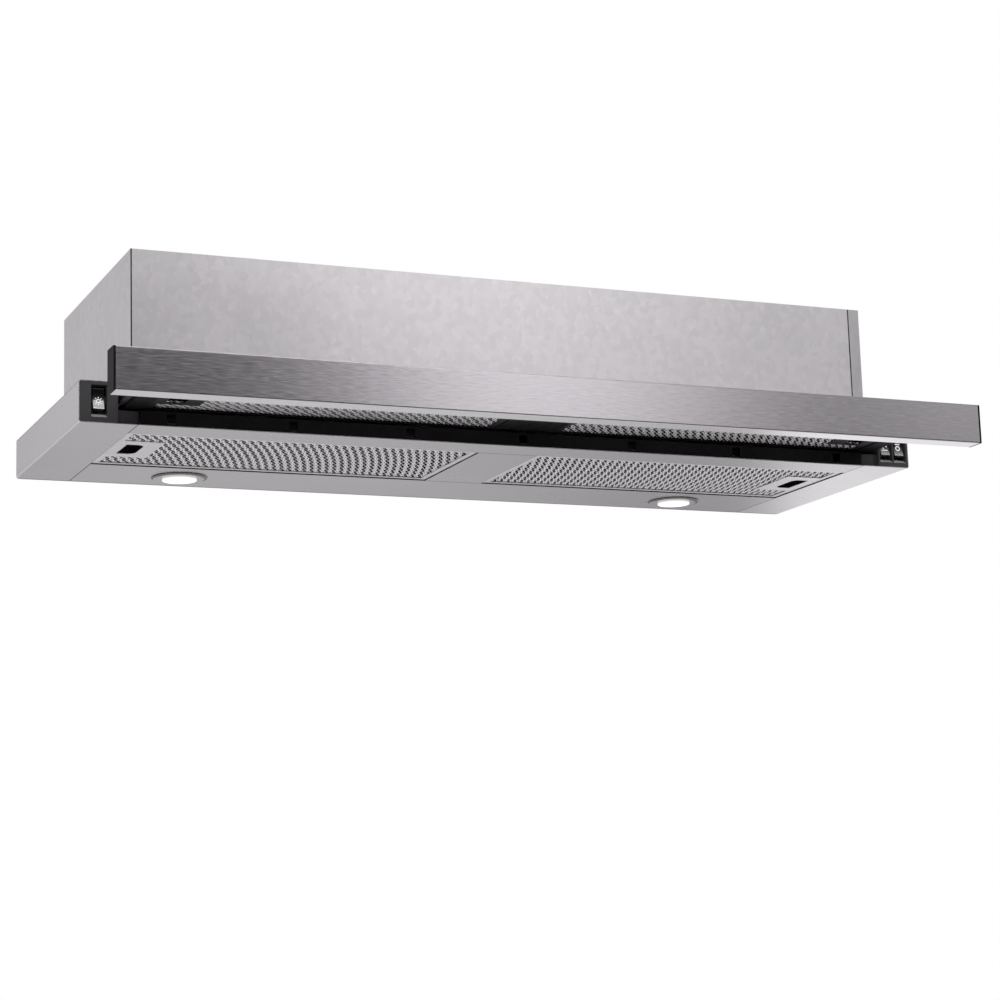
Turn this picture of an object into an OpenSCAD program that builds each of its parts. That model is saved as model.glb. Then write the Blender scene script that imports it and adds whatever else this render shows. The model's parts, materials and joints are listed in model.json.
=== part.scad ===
// Pull-out range hood for a cabinet 900 mm wide.
// A flat lower casing carries two grease filters, two lamps and the switches. A visor with two more
// filters slides out of it behind a steel fascia. The upper casing holds the blower and the duct collar.
// X runs to the right, Y to the back and Z up. The origin is on the duct's axis, at the collar's shoulder.

/* [Lower casing] */
// Width of the lower casing
tray_w = 896; // [860:2:980]
// Depth of the lower casing
tray_d = 283; // [278:1:310]
// Height of the lower casing
tray_h = 40; // [39.5:0.5:46]
// Thickness of the casing's steel sheet
sheet = 0.8; // [0.6:0.1:1]
// Width of each end housing
end_w = 56; // [54:1:60]
// Bend radius along the outer lower edges
edge_r = 2.5; // [1.5:0.5:4]
// Radius of the rear corners, seen from above
corner_r = 7; // [4:1:12]
// Gap between neighbouring panels
seam = 0.4; // [0.2:0.1:0.6]
// Depth of the strip in front of the filters
strip_d = 39; // [34:1:44]
// Depth of the panel behind the filters, which holds the lamps
rear_d = 93; // [88:1:110]
// Width of the plate between the two filters
centre_w = 64; // [58:2:80]
// Height of the stiffening flanges round the filter openings
flange_h = 10; // [6:1:12]
// Thickness of the hem that carries the filter bolts
hem_t = 0.6; // [0.4:0.1:0.7]
// Width of that hem
hem_w = 8; // [6:1:10]

/* [Upper casing] */
// Width of the ledge on each side that bears against the cabinet
ledge_w = 50; // [48:1:53]
// Height of the upper casing above the lower one
body_h = 131; // [128:1:180]
// Set-back of the upper casing from the front of the lower one
body_setback = 3; // [2:0.5:8]
// Set-back of the upper casing from the rear of the lower one
body_back = 3; // [2:0.5:8]
// Width of the folded flanges of the side panels
side_flange_w = 12.5; // [11:0.5:16]
// Distance of the cabinet screws from the sides of the upper casing
cabinet_screw_side = 48; // [20:1:70]
// Distance of the cabinet screws from its front and back
cabinet_screw_end = 38.5; // [20:0.5:45]
// Diameter of the holes for the cabinet screws
cabinet_screw_d = 5.5; // [4:0.5:7]

/* [Duct collar] */
// Outer diameter of the duct collar
duct_d = 120; // [100:1:125]
// Height of the collar's pipe above its shoulder
duct_h = 26; // [20:1:60]
// Distance of the duct's axis from the back of the upper casing
duct_back = 115; // [100:1:125]
// Wall of the duct collar
duct_wall = 2; // [1.8:0.1:3]
// Width of the collar's screw flange beyond the pipe
duct_flange_w = 11; // [9:1:16]
// Thickness of the damper flaps
flap_t = 1.6; // [1.2:0.1:2]
// Diameter of the damper flaps' pivots
flap_pin_d = 3; // [2.5:0.1:3.5]

/* [Visor] */
// Distance that the visor is pulled out
visor_out = 112; // [0:1:160]
// Depth of the visor's frame
visor_d = 171; // [165:1:180]
// Height of the visor's underside above the lower casing's underside
visor_z = 16.5; // [16:0.5:22]
// Height of the visor's frame
visor_h = 15; // [14:0.5:16]
// Width of the visor's side members
visor_side_w = 19; // [14:1:24]
// Depth of the visor's front beam
visor_front_d = 13; // [10:1:18]
// Depth of the visor's rear beam
visor_rear_d = 46; // [30:1:48]
// Wall of the visor's frame
visor_wall = 1; // [0.8:0.1:1.2]
// Room between the visor's frame and each switch pod, which holds the slides
rail_room = 7; // [6.8:0.1:8]
// Height of the moving slides
rail_h = 8; // [6:0.5:9]
// Length of the moving slides
rail_l = 250; // [230:5:260]
// Running clearance of the slides
rail_gap = 0.5; // [0.3:0.1:0.6]

/* [Fascia] */
// Overhang of the fascia beyond each end of the lower casing
fascia_over = 1; // [0:0.5:3]
// Height of the fascia
fascia_h = 40; // [36:1:50]
// Thickness of the fascia from front to back
fascia_t = 22; // [18:1:30]
// Gap between the closed fascia and the lower casing
fascia_gap = 1; // [0.8:0.1:3]
// Bend radius of the fascia's edges
fascia_r = 1.2; // [0.9:0.1:2]
// Thickness of the fascia's end caps
cap_t = 2; // [1:0.5:4]
// Depth to which the end caps plug into the fascia
cap_plug = 6; // [3:1:12]

/* [Grease filters] */
// Thickness of a grease filter
filter_t = 9; // [8.5:0.5:9.5]
// Width of a filter's visible border
filter_bar = 6; // [4:0.5:8]
// Gap round a filter in its opening
filter_gap = 1; // [0.5:0.1:1.2]
// Sheet thickness of the filter's frame
filter_sheet = 0.6; // [0.5:0.1:0.8]
// Length of the latch plate along the filter
latch_plate_l = 46; // [42:1:60]
// Width of the latch plate across the filter
latch_plate_w = 74; // [70:1:90]
// Width of the latch plate across a filter of the visor
visor_plate_w = 56; // [54:1:70]
// Length of the finger hole across the filter
finger_l = 44; // [36:1:46]
// Width of the finger hole along the filter
finger_w = 18; // [15:0.5:20]
// Distance of the finger hole's middle from the filter's outer end
finger_x = 21; // [20:0.5:24]
// How far the latch's bolt reaches past the filter
bolt_out = 4.4; // [3.5:0.1:5]
// Rows of diamonds in the filter's expanded metal
mesh_rows = 15; // [7:2:17]
// Rows of diamonds in a filter of the visor
visor_mesh_rows = 11; // [5:2:13]
// Diamonds in one row
mesh_columns = 18; // [8:1:20]
// Width of the strands between the diamonds
mesh_web = 2.6; // [2:0.1:5]
// Pitch of the folds in the filter's inner layer
fold_pitch = 14; // [12:1:24]

/* [Lamps] */
// Distance of each lamp from the end of the lower casing
lamp_side = 161; // [130:1:230]
// Outer diameter of the lamp's ring
lamp_ring_d = 58; // [54:1:64]
// Diameter of the lamp's lens
lens_d = 36; // [30:1:42]
// How far the lens stands out of the underside
lens_drop = 4.5; // [3:0.5:6]

/* [Switches] */
// Width of a switch pod at the end of the lower casing
pod_w = 37; // [36:0.5:39]
// Depth of a switch pod
pod_d = 24; // [20:1:26]
// Height of the sill between the pods
sill_h = 14; // [13:0.5:15]
// Depth of the sill
sill_d = 10; // [6:1:14]
// Width of one pocket for a key
pocket_w = 15; // [14:0.5:15.2]
// Bottom of the pockets
pocket_z0 = 5.6; // [4.5:0.1:6.5]
// Top of the pockets
pocket_z1 = 36.2; // [35.5:0.1:36.5]
// Depth of the pockets
pocket_d = 14; // [13.5:0.5:16]
// Width of a rocker key
key_w = 10.4; // [8:0.2:12]
// Height of a rocker key
key_h = 20; // [16:0.5:21]
// Rock of a key from one side to the other, in degrees
key_rock = 16; // [8:1:16]
// Number of drain slots in the sill
sill_slots = 7; // [3:2:9]
// Distance between the drain slots
sill_pitch = 120; // [60:5:125]
// Width of a drain slot
slot_w = 9; // [4:0.5:14]
// Height of a drain slot
slot_h = 9.2; // [4:0.1:9.4]

/* [Blower] */
// Outer diameter of the blower wheel
wheel_d = 96; // [84:1:98]
// Room between the blower wheel and each side of the scroll
wheel_side = 10; // [8:1:16]
// Number of blades round the wheel
blades = 30; // [16:2:40]
// Thickness of the blower's sheet
scroll_wall = 1; // [0.8:0.1:1.5]
// Inner width of the scroll
scroll_w = 130; // [124:1:140]
// Diameter of the motor
motor_d = 60; // [50:1:64]
// Length of the motor
motor_l = 66; // [56:1:70]
// Diameter of the motor's shaft
shaft_d = 8; // [6:0.5:10]
// Length of the control box
control_l = 120; // [100:5:140]
// Depth of the control box
control_d = 80; // [60:5:90]
// Height of the control box
control_h = 30; // [24:1:40]
// Diameter of the motor's capacitor
capacitor_d = 30; // [25:1:36]
// Length of the motor's capacitor
capacitor_l = 58; // [50:1:70]

/* [Hidden] */
$fn = 64;

// Small fits
touch = 0.1;      // between pieces that seat on each other
seat = 0.3;       // between pieces that move or are sprung
run = 0.05;       // round a pin or a shaft that turns
past = 1;         // how far a cut runs past the face it opens

// Lower casing
half = tray_w / 2;
end_x = half - end_w;
pod_x = half - pod_w;
window_y0 = strip_d;
window_y1 = tray_d - rear_d;
window_yc = (window_y0 + window_y1) / 2;
lamp_x = half - lamp_side;
lamp_y = (window_y1 + tray_d) / 2;

// Upper casing
body_half = half - ledge_w;
top_z = tray_h + body_h;
body_y0 = body_setback;
body_y1 = tray_d - body_back;
body_d = body_y1 - body_y0;
duct_y = body_y1 - duct_back;
ledge_z = tray_h - sheet;                  // where the side panels' feet rest
screw_foot_x = body_half - side_flange_w / 2;
cabinet_screws_x = body_half - cabinet_screw_side;
cabinet_screws_y = [body_y0 + cabinet_screw_end, body_y1 - cabinet_screw_end];

// Visor, in the pose of the photograph
visor_y0 = -(visor_out + fascia_gap);
visor_y1 = visor_y0 + visor_d;
visor_half = pod_x - rail_room;
visor_side_x = visor_half - visor_side_w;
visor_top = visor_z + visor_h;
visor_win_y0 = visor_y0 + visor_front_d;
visor_win_y1 = visor_y1 - visor_rear_d;
rail_zc = visor_z + visor_h / 2;
rail_wall = 1.2;
rail_x = visor_half + touch;
rail_t = rail_room - rail_wall - rail_gap - 1;
fascia_half = half + fascia_over;
fascia_y0 = visor_y0 - fascia_t;
fascia_lip = 12;
fascia_screw_z = visor_top - visor_h / 3;

// Screws
screw_d = 3.4;
screw_hole_d = 3.6;
screw_head_d = 6.4;
screw_head_h = 1.8;
foot_screw_l = 2 * sheet + 0.4;
fascia_screw_d = 2.8;
fascia_screw_l = 6;

// A box given by its lowest and its highest corner
module span(a, b) translate(a) cube(b - a);

// Shapes drawn in Y and Z and run along X, or drawn in X and Z and run along Y
module along_x(x0, x1) translate([x0, 0, 0]) rotate([90, 0, 90]) linear_extrude(x1 - x0) children();
module along_y(y0, y1) translate([0, y1, 0]) rotate([90, 0, 0]) linear_extrude(y1 - y0) children();

// Whatever is drawn for the right side, on side s
module on_side(s) {
  if (s < 0) mirror([1, 0, 0]) children();
  else children();
}

// A flat rectangle with round corners
module round_rect(a, b, r) {
  translate([a[0] + r, a[1]]) square([b[0] - a[0] - 2 * r, b[1] - a[1]]);
  translate([a[0], a[1] + r]) square([b[0] - a[0], b[1] - a[1] - 2 * r]);
  for (x = [a[0] + r, b[0] - r], y = [a[1] + r, b[1] - r]) translate([x, y]) circle(r);
}

// The casing's own frame, moved so that the origin is on the duct's axis at the collar's shoulder
module hood() translate([0, -duct_y, -top_z - collar_flange_t]) children();

// A screw with its head's underside at the origin and its shank down
module screw(length) {
  cylinder(h = screw_head_h, d = screw_head_d);
  translate([0, 0, -length]) cylinder(h = length, d = screw_d);
}

// Screw places
foot_screws = [for (y = [0.15, 0.5, 0.85]) body_y0 + y * body_d];
collar_screws = [for (a = [45 : 90 : 315]) (duct_d / 2 + duct_flange_w / 2) * [cos(a), sin(a)]];
fascia_screws_x = [for (i = [-2.5 : 1 : 2.5]) i * visor_half / 3];

// Upper casing

module side_panel(s) color("silver") on_side(s) difference() {
  union() {
    span([body_half - sheet, body_y0, ledge_z], [body_half, body_y1, top_z]);
    span([body_half - side_flange_w, body_y0 + (s < 0 ? sheet + touch : 0), ledge_z],
      [body_half, body_y0 + (s < 0 ? 2 * sheet + touch : sheet), top_z]);
    span([body_half - side_flange_w, body_y1 - 2 * sheet - touch, ledge_z],
      [body_half, body_y1 - sheet - touch, top_z - sheet - touch]);
    span([body_half - side_flange_w, body_y0 + sheet, ledge_z], [body_half, body_y1, ledge_z + sheet]);
  }
  for (y = foot_screws) translate([screw_foot_x, y, ledge_z - past])
    cylinder(h = sheet + 2 * past, d = screw_hole_d);
}

module side_panel_left() side_panel(-1);
module side_panel_right() side_panel(1);

cover_x0 = -body_half + sheet + touch;
cover_x1 = body_half - side_flange_w - seam;
cover_z0 = tray_h + seat;
cover_flange_w = 10;

module front_cover() color("lightgray") {
  span([cover_x0, body_y0, cover_z0], [cover_x1, body_y0 + sheet, top_z]);
  span([-body_half + side_flange_w + seam, body_y0, cover_z0],
    [cover_x1, body_y0 + cover_flange_w, cover_z0 + sheet]);
}

// The left side panel's front flange lies behind the front cover, so the top panel starts behind it
top_y0 = body_y0 + 2 * (sheet + touch);
top_y1 = body_y1 - sheet - touch;
top_half = body_half - sheet - touch;
top_flange_h = 10;
top_flange_room = 1;
gland_d = 14;
gland_x = body_half - 68;
gland_y = body_y0 + 57;

module top_panel() color("silver") difference() {
  union() {
    span([-top_half, top_y0, top_z - sheet], [top_half, top_y1, top_z]);
    for (y = [top_y0, top_y1 - 2 * sheet - touch])
      span([-body_half + side_flange_w + top_flange_room, y, top_z - top_flange_h],
        [body_half - side_flange_w - top_flange_room, y + sheet, top_z]);
  }
  translate([0, duct_y, top_z - past]) {
    cylinder(h = 2 * past, r = pipe_r + spigot_wall + touch);
    for (p = collar_screws) translate(p) cylinder(h = 2 * past, d = screw_hole_d);
  }
  for (x = [-cabinet_screws_x, cabinet_screws_x], y = cabinet_screws_y) translate([x, y, top_z - past])
    cylinder(h = 2 * past, d = cabinet_screw_d);
  translate([gland_x, gland_y, top_z - past]) cylinder(h = 2 * past, d = gland_d);
}

module back_panel() color("silver")
  span([-top_half, body_y1 - sheet, tray_h + touch], [top_half, body_y1, top_z]);

// Lower casing

// The end housing's outer form, drawn inward by the given inset
module end_form(inset) intersection() {
  translate([0, 0, inset]) linear_extrude(tray_h - 2 * inset) union() {
    x1 = half - inset;
    y1 = tray_d - inset;
    r = corner_r - inset;
    translate([end_x - 2 * inset, -inset]) square([x1 - r - end_x + 2 * inset, y1 + inset]);
    translate([end_x - 2 * inset, -inset]) square([x1 - end_x + 2 * inset, y1 - r + inset]);
    translate([x1 - r, y1 - r]) circle(r);
  }
  along_y(-past, tray_d + past) union() {
    r = edge_r - inset;
    x1 = half - inset;
    translate([end_x - 2 * past, inset + r]) square([x1 - end_x + 2 * past, tray_h - 2 * inset - 2 * r]);
    translate([end_x - 2 * past, inset]) square([x1 - r - end_x + 2 * past, tray_h - 2 * inset]);
    for (z = [inset + r, tray_h - inset - r]) translate([x1 - r, z]) circle(r);
  }
}

// The end housing is a folded shell with its front and its inner side open. Its top steps down by one
// sheet inside the ledge, where the upper casing's side panel stands.
step_x = body_half + seam;
pod_tab_w = 5;
module end_housing(s) color("gainsboro") on_side(s) difference() {
  union() {
    difference() {
      end_form(0);
      end_form(sheet);
      span([end_x - past, -past, -past], [end_x + seam / 2, tray_d + past, tray_h + past]);
      span([end_x - past, -past, tray_h - sheet], [step_x, tray_d + past, tray_h + past]);
    }
    span([step_x, 0, tray_h - 2 * sheet], [step_x + sheet, tray_d - corner_r, tray_h]);
    span([body_half - side_flange_w, 0, tray_h - 2 * sheet], [step_x + sheet, tray_d, tray_h - sheet]);
    span([end_x + seam / 2, window_y0, sheet], [end_x + hem_w, window_y1, sheet + hem_t]);
    for (x = [pod_x + 0.45 * pod_w, pod_x + 0.72 * pod_w])
      span([x - pod_tab_w / 2, -fascia_gap / 2, tray_h - sheet], [x + pod_tab_w / 2, sheet, tray_h]);
  }
  for (y = foot_screws) translate([screw_foot_x, y, tray_h - 2 * sheet - past])
    cylinder(h = sheet + 2 * past, d = screw_hole_d);
}

module end_housing_left() end_housing(-1);
module end_housing_right() end_housing(1);

strip_half = end_x - seam / 2;

module front_strip() color("gainsboro") {
  span([-strip_half, seam / 2, 0], [strip_half, window_y0 - seam / 2, sheet]);
  span([-strip_half, window_y0 - seam / 2 - sheet, 0], [strip_half, window_y0 - seam / 2, flange_h]);
}

// Places across the filter of the two tabs at its inner end
tab_w = 20;
tab_l = 5;
tab_room = 1;
function tab_places(y0, y1) = [for (k = [0.22, 0.78]) y0 + k * (y1 - y0)];

// A plate between two filters, with flanges that are notched for the filters' tabs
module divider(y0, y1, z, t, h) difference() {
  union() {
    span([-centre_w / 2, y0, z], [centre_w / 2, y1, z + t]);
    for (x = [-centre_w / 2, centre_w / 2 - t]) span([x, y0, z], [x + t, y1, z + h]);
  }
  for (y = tab_places(y0, y1))
    span([-centre_w / 2 - past, y - tab_w / 2 - tab_room, z + t],
      [centre_w / 2 + past, y + tab_w / 2 + tab_room, z + h + past]);
}

module centre_plate() color("gainsboro")
  divider(window_y0 + seam / 2, window_y1 - seam / 2, 0, sheet, flange_h);

rear_rest = 15;
rear_half = body_half - side_flange_w - seam;
module rear_panel() color("gainsboro") difference() {
  union() {
    span([-strip_half, window_y1 + seam / 2, 0], [strip_half, tray_d, sheet]);
    span([-strip_half, window_y1 + seam / 2, 0], [strip_half, window_y1 + seam / 2 + sheet, flange_h]);
    span([-strip_half, tray_d - sheet, 0], [strip_half, tray_d, tray_h - 2 * sheet - touch]);
    span([-rear_half, tray_d - sheet, 0], [rear_half, tray_d, tray_h]);
    span([-rear_half, tray_d - rear_rest, tray_h - sheet], [rear_half, tray_d, tray_h]);
  }
  for (x = [-lamp_x, lamp_x]) translate([x, lamp_y, -past])
    cylinder(h = sheet + 2 * past, d = lamp_spigot_d + 2 * touch);
}

// The sill closes the lower casing's front below the visor, and drains through square slots
sill_half = end_x - 2;
sill_y0 = 0.6;
sill_wall = 1.7;
sill_floor = 1;
sill_z0 = sheet + touch;
slot_z = (sill_z0 + sill_h) / 2;

module front_sill() color([0.07, 0.07, 0.07]) difference() {
  along_x(-sill_half, sill_half) union() {
    translate([sill_y0, sill_z0]) square([sill_wall, sill_h - sill_z0]);
    translate([sill_y0, sill_h - sill_wall]) square([sill_d - sill_y0, sill_wall]);
    translate([sill_y0, sill_z0]) square([sill_d - sill_y0, sill_floor]);
  }
  for (i = [0 : sill_slots - 1]) translate([(i - (sill_slots - 1) / 2) * sill_pitch, 0, slot_z])
    span([-slot_w / 2, sill_y0 - past, -slot_h / 2], [slot_w / 2, sill_y0 + sill_wall + past, slot_h / 2]);
}

// Switch pods, with one pocket on the left and two on the right

pod_end = half - sheet - seat;
pod_z0 = sheet + touch;
pod_z1 = tray_h - sheet - touch;
pod_mid = (pod_x + pod_end) / 2;
pocket_post = 1.6;
step_back = 5;
scoop = 3.3;
key_rise = 1.6;
key_z = (pocket_z0 + pocket_z1) / 2 + key_rise;
key_y = 9;
key_pin_d = 3;
key_bear = 1.2;
cheek_d = 3;
cheek_h = 7;
function pocket_mids(s) = s < 0 ? [pod_mid] : [pod_mid - (pocket_w + pocket_post) / 2,
  pod_mid + (pocket_w + pocket_post) / 2];

// The pod's block follows the end housing's bends at its outer corners
module pod_block() along_y(0, pod_d) {
  translate([pod_x, pod_z0]) square([pod_end - edge_r - pod_x, pod_z1 - pod_z0]);
  translate([pod_x, pod_z0 + edge_r]) square([pod_end - pod_x, pod_z1 - pod_z0 - 2 * edge_r]);
  for (z = [pod_z0 + edge_r, pod_z1 - edge_r]) translate([pod_end - edge_r, z]) circle(edge_r);
}

module switch_pod(s) color([0.2, 0.19, 0.2]) on_side(s) difference() {
  union() {
    pod_block();
    translate([0, 0, pod_z0]) linear_extrude(sill_h - pod_z0) difference() {
      translate([sill_half + touch, 0]) square([pod_x - sill_half, pod_d]);
      translate([sill_half - past, -past]) square([pod_x - step_back - sill_half + past, step_back + past]);
      translate([pod_x - step_back, 0]) circle(step_back);
    }
  }
  for (x = pocket_mids(s)) {
    span([x - pocket_w / 2, -past, pocket_z0 + scoop], [x + pocket_w / 2, pocket_d, pocket_z1]);
    along_x(x - pocket_w / 2, x + pocket_w / 2)
      polygon([[-past, pocket_z0 - past], [0, pocket_z0], [scoop + 1, pocket_z0 + scoop],
        [scoop + 1, pocket_z0 + scoop + past], [-past, pocket_z0 + scoop + past]]);
    translate([x - key_w / 2 - key_bear - run, key_y, key_z]) rotate([0, 90, 0])
      cylinder(h = key_w + 2 * (key_bear + run), d = key_pin_d + 2 * run);
  }
}

// Inside each pocket two cheeks hold the key's pin
module pocket_cheeks(s) color([0.2, 0.19, 0.2]) on_side(s) for (x = pocket_mids(s), e = [-1, 1])
  difference() {
    inner = key_w / 2 + seat;
    translate([x, 0, 0]) mirror([e < 0 ? 1 : 0, 0, 0])
      span([inner, key_y - cheek_d, key_z - cheek_h / 2],
        [pocket_w / 2 + touch, pocket_d + touch, key_z + cheek_h / 2]);
    translate([x - pocket_w, key_y, key_z]) rotate([0, 90, 0])
      cylinder(h = 2 * pocket_w, d = key_pin_d + 2 * run);
  }

module switch_pod_left() {
  switch_pod(-1);
  pocket_cheeks(-1);
}
module switch_pod_right() {
  switch_pod(1);
  pocket_cheeks(1);
}

// A rocker key with a hollow front, tipped so that its lower edge stands out
key_front = 7;
key_back = 3;
hollow_r = 36;
hollow_depth = 1.2;
module rocker_key(x) color([0.75, 0.75, 0.77]) translate([x, key_y, key_z]) rotate([-key_rock / 2, 0, 0]) {
  along_x(-key_w / 2, key_w / 2) difference() {
    translate([-key_front, -key_h / 2]) square([key_front + key_back, key_h]);
    translate([-key_front - hollow_r + hollow_depth, 0]) circle(hollow_r, $fn = 160);
  }
  rotate([0, 90, 0]) cylinder(h = key_w + 2 * key_bear, d = key_pin_d, center = true);
}

module light_key() rocker_key(-pocket_mids(-1)[0]);
module fan_key() rocker_key(pocket_mids(1)[0]);
module speed_key() rocker_key(pocket_mids(1)[1]);

// Lamps

lamp_spigot_d = lens_d + 12;
lamp_lip = 1.6;
lamp_cup_h = 14;
lamp_cup_wall = 1.5;
lens_wall = 1.6;
lens_edge = 2.5;
lens_top = 6;

module lamp_ring(s) color("gainsboro") on_side(s) translate([lamp_x, lamp_y, 0]) rotate_extrude()
  difference() {
    union() {
      translate([0, -lamp_lip]) square([lamp_ring_d / 2 - lamp_lip, lamp_lip]);
      translate([lamp_ring_d / 2 - lamp_lip, 0]) intersection() {
        circle(lamp_lip);
        translate([0, -lamp_lip]) square(lamp_lip);
      }
      square([lamp_spigot_d / 2, lamp_cup_h]);
    }
    translate([0, -lamp_lip - past])
      square([lens_d / 2 + seat, lamp_lip + past + lamp_cup_h - lamp_cup_wall]);
  }

// The lens is a cup whose bottom is domed, made as a turned shell
dome_r = 140;
module lens_profile(r, drop, top) intersection() {
  translate([0, -drop]) round_rect([-r, 0], [r, drop + top], lens_edge);
  translate([0, dome_r - drop]) circle(dome_r, $fn = 160);
  translate([0, -drop]) square([r, drop + top]);
}
module lamp_lens(s) color([1, 1, 0.95]) on_side(s) translate([lamp_x, lamp_y, 0]) rotate_extrude()
  difference() {
    lens_profile(lens_d / 2, lens_drop, lens_top);
    intersection() {
      translate([0, dome_r - lens_drop]) circle(dome_r - lens_wall, $fn = 160);
      translate([-past, lens_edge - lens_drop]) square([lens_d / 2 - lens_wall + past, lens_d]);
    }
  }

board_t = 1.6;
led_w = 3;
module led_boards() color("white") for (x = [-lamp_x, lamp_x])
  translate([x, lamp_y, lamp_cup_h - lamp_cup_wall - touch - board_t]) {
    cylinder(h = board_t, d = lens_d - 2 * board_t);
    for (a = [0 : 60 : 300]) rotate(a) translate([lens_d / 4, 0, 0]) cube(led_w, center = true);
  }

module lamp_ring_left() lamp_ring(-1);
module lamp_ring_right() lamp_ring(1);
module lamp_lens_left() lamp_lens(-1);
module lamp_lens_right() lamp_lens(1);

// Duct collar and its damper

pipe_r = duct_d / 2 - duct_wall;
collar_flange_t = 2;
collar_screw_l = collar_flange_t + sheet + 2;
spigot_wall = 1.5;
spigot_z = -sheet - 1;
flap_seat_w = 4;
flap_seat_t = 2.1;
flap_bar_w = 2.4;
flap_room = 1;
flap_z = flap_seat_t + seat;
flap_pin_z = flap_z + flap_pin_d / 2;
flap_pin_y = 2.8;
flap_bite = 1.2;

module at_duct() translate([0, duct_y, top_z]) children();

module duct_collar() color([0.16, 0.16, 0.16]) at_duct() difference() {
  union() {
    cylinder(h = collar_flange_t + duct_h, r = duct_d / 2);
    cylinder(h = collar_flange_t, r = duct_d / 2 + duct_flange_w);
    translate([0, 0, spigot_z]) cylinder(h = touch - spigot_z, r = pipe_r + spigot_wall);
  }
  difference() {
    translate([0, 0, spigot_z - past])
      cylinder(h = duct_h + collar_flange_t - spigot_z + 2 * past, r = pipe_r);
    difference() {
      cylinder(h = flap_seat_t, r = pipe_r + past);
      translate([0, 0, -past]) cylinder(h = flap_seat_t + 2 * past, r = pipe_r - flap_seat_w);
    }
    span([-pipe_r - touch, -flap_bar_w / 2, 0], [pipe_r + touch, flap_bar_w / 2, flap_seat_t]);
  }
  for (y = [-flap_pin_y, flap_pin_y]) translate([0, y, flap_pin_z]) rotate([0, 90, 0])
    cylinder(h = 2 * (pipe_r + flap_bite + run), d = flap_pin_d + 2 * run, center = true);
  for (p = collar_screws) translate([p[0], p[1], -past])
    cylinder(h = 2 * past + collar_flange_t, d = screw_hole_d);
}

// A damper flap is half a disc on a pin across the collar; e is -1 for the front one
module damper_flap(e) color([0.3, 0.3, 0.3]) at_duct() {
  translate([0, 0, flap_z]) linear_extrude(flap_t) intersection() {
    circle(pipe_r - flap_room);
    translate([-duct_d, e > 0 ? flap_pin_y : -flap_pin_y - duct_d]) square([2 * duct_d, duct_d]);
  }
  translate([0, e * flap_pin_y, flap_pin_z]) rotate([0, 90, 0])
    cylinder(h = 2 * (sqrt(pipe_r * pipe_r - flap_pin_y * flap_pin_y) + flap_bite - seat), d = flap_pin_d,
      center = true);
}

module damper_flap_front() damper_flap(-1);
module damper_flap_rear() damper_flap(1);

// The gland is a threaded sleeve with a six-sided shoulder above the panel and a nut below it
gland_bore_d = 8;
gland_head_h = 3;
gland_nut_h = 4;
gland_nut_d = gland_d + 5;
gland_drop = 5;
gland_top = 12;
module cable_gland() color([0.1, 0.1, 0.1]) translate([gland_x, gland_y, top_z]) difference() {
  union() {
    cylinder(h = gland_head_h, d = gland_nut_d + 1, $fn = 6);
    translate([0, 0, -sheet - touch - gland_nut_h]) cylinder(h = gland_nut_h, d = gland_nut_d, $fn = 6);
    translate([0, 0, -gland_drop]) cylinder(h = gland_drop + gland_head_h, d = gland_d - 2 * touch);
    cylinder(h = gland_top, d = gland_d - 1);
  }
  translate([0, 0, -gland_drop - past]) cylinder(h = gland_drop + gland_top + 2 * past, d = gland_bore_d);
}

// Blower: a double-inlet wheel in a scroll, with the motor in the right inlet

wheel_r = wheel_d / 2;
wheel_w = scroll_w - 2 * wheel_side;
wheel_y = duct_y - 15;
scroll_room = 5;                           // between the wheel and the scroll's tongue
scroll_growth = 14;                        // from the tongue round to the outlet
scroll_out = pipe_r + spigot_wall + touch;
inlet_r = wheel_r - 5;
tongue_a = 120;

function scroll_r(a) = wheel_r + scroll_room + scroll_growth * (a - tongue_a) / (360 - tongue_a);
wheel_z = visor_top + sheet + scroll_room + scroll_r(270) + scroll_wall;

// The scroll's outline in Y and Z round the wheel's centre, grown by g, up to the height h;
// its neck runs straight up past the collar's spigot
scroll_neck = top_z + spigot_z - touch - wheel_z;
function scroll_line(g, h) = concat(
  [for (z = [scroll_neck, h]) [duct_y - wheel_y + scroll_out + g, z]],
  [for (z = [h, scroll_neck]) [duct_y - wheel_y - scroll_out - g, z]],
  [for (a = [tongue_a : 8 : 360]) (scroll_r(a) + g) * [cos(a), sin(a)]]);

module at_wheel() translate([0, wheel_y, wheel_z]) children();
scroll_top = top_z - sheet - touch;
scroll_foot = 12;

module blower_scroll() color("silver") difference() {
  union() {
    at_wheel() along_x(-scroll_w / 2 - scroll_wall, scroll_w / 2 + scroll_wall)
      polygon(scroll_line(scroll_wall, scroll_top - wheel_z));
    span([-scroll_w / 2 - scroll_foot, duct_y - scroll_out - scroll_foot, scroll_top - scroll_wall],
      [scroll_w / 2 + scroll_foot, duct_y + scroll_out + scroll_foot, scroll_top]);
  }
  at_wheel() {
    along_x(-scroll_w / 2, scroll_w / 2) polygon(scroll_line(0, scroll_top - wheel_z + past));
    rotate([0, 90, 0]) cylinder(h = scroll_w + 4 * past, r = inlet_r, center = true);
  }
}

// The wheel is a cage of forward-curved blades between two rings, on a disc with a hub
blade_t = 0.8;
blade_sweep = 14;
blade_steps = 5;
ring_w = 7;
ring_t = 2;
hub_l = 18;
hub_wall = 5;

// One blade seen along the shaft; it leans further forward the further out it goes
function blade_point(t, thick) = let (
    r = wheel_r - ring_w + t * (ring_w - 0.5),
    a = blade_sweep * t * t + thick * 180 / (PI * r)
  ) r * [cos(a), sin(a)];
module blade() polygon(concat(
  [for (i = [0 : blade_steps]) blade_point(i / blade_steps, 0)],
  [for (i = [blade_steps : -1 : 0]) blade_point(i / blade_steps, blade_t)]));

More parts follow.
